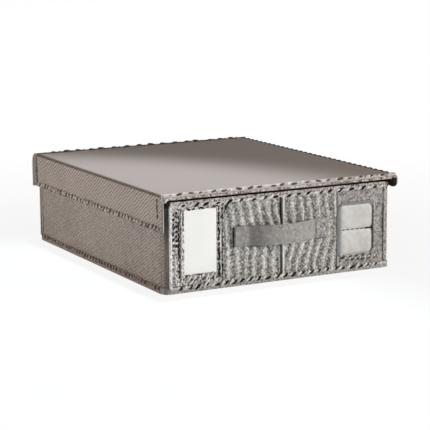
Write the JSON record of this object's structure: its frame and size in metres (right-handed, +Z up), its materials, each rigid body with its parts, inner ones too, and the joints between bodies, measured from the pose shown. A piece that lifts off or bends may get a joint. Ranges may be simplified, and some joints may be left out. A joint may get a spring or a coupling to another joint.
{
  "type": "file box with drawer",
  "caption": "Flat cloth-covered file box with a lift-off lid and a pull-out drawer whose front has a bowed webbing handle, a label pocket and a small window.",
  "frame": {"origin": "on the plane the case stands on, directly below the middle of the lid's plan", "axes": "+Z up, +X to the right seen from the front, +Y to the back; the drawer pulls out towards -Y"},
  "size_m": [0.3484, 0.4152, 0.1254],
  "materials": {
    "board": "stiff grey-brown board, hidden inside the cloth",
    "side_cloth": "taupe diagonal twill",
    "top_cloth": "fine smooth pinkish-grey cloth",
    "front_cloth": "coarse grey tweed with light and dark flecks",
    "lining_cloth": "plain thin lining",
    "binding": "narrow woven binding tape",
    "cord": "two-tone twisted cord",
    "webbing": "dense grey herringbone webbing",
    "card": "blank off-white card",
    "clear_film": "clear flexible film",
    "milky_film": "milky flexible film"
  },
  "bodies": {
    "case": {"case_left_cover": "side_cloth", "case_right_cover": "side_cloth", "case_back_cover": "side_cloth", "case_bottom_cover": "side_cloth", "case_left_board": "board", "case_right_board": "board", "case_back_board": "board", "case_bottom_board": "board", "case_lining": "lining_cloth", "case_rim_binding": "binding", "case_mouth_binding": "binding", "case_bottom_binding": "binding", "case_corner_binding_left": "binding", "case_corner_binding_right": "binding", "front_rail_board": "board", "front_rail_cover": "side_cloth"},
    "lid": {"lid_top_cover": "top_cloth", "lid_top_board": "board", "lid_front_cord": "cord", "lid_back_cord": "cord", "lid_left_piping": "cord", "lid_right_piping": "cord", "lid_left_cover": "side_cloth", "lid_right_cover": "side_cloth", "lid_back_cover": "side_cloth", "lid_left_board": "board", "lid_right_board": "board", "lid_back_board": "board", "lid_lining": "lining_cloth", "lid_left_hem": "binding", "lid_right_hem": "binding", "lid_back_hem": "binding", "lid_notch_binding": "binding", "lid_front_arch": "binding", "lid_left_corner_tab": "binding", "lid_right_corner_tab": "binding"},
    "drawer": {"drawer_cover": "side_cloth", "drawer_left_board": "board", "drawer_right_board": "board", "drawer_back_board": "board", "drawer_bottom_board": "board", "drawer_lining": "lining_cloth", "drawer_rim_binding": "binding", "drawer_front_board_left": "board", "drawer_front_board_right": "board", "drawer_front_lining": "lining_cloth", "drawer_front_cover": "front_cloth", "front_bottom_binding": "binding", "front_top_binding": "binding", "front_gathered_panel": "front_cloth", "front_fold_seam": "cord", "section_piping": "cord", "front_edge_piping": "cord", "label_card": "card", "label_sleeve": "clear_film", "label_pocket_border": "binding", "window_frame": "binding", "window_pane": "milky_film", "handle_strap": "webbing", "handle_end_tabs": "webbing"}
  },
  "joints": [
    {"name": "drawer_slide", "type": "slide", "parent": "case", "child": "drawer", "axis": [0, -1, 0], "range_m": [0, 0.3]},
    {"name": "lid_lift", "type": "slide", "parent": "case", "child": "lid", "axis": [0, 0, 1], "range_m": [0, 0.06]}
  ]
}
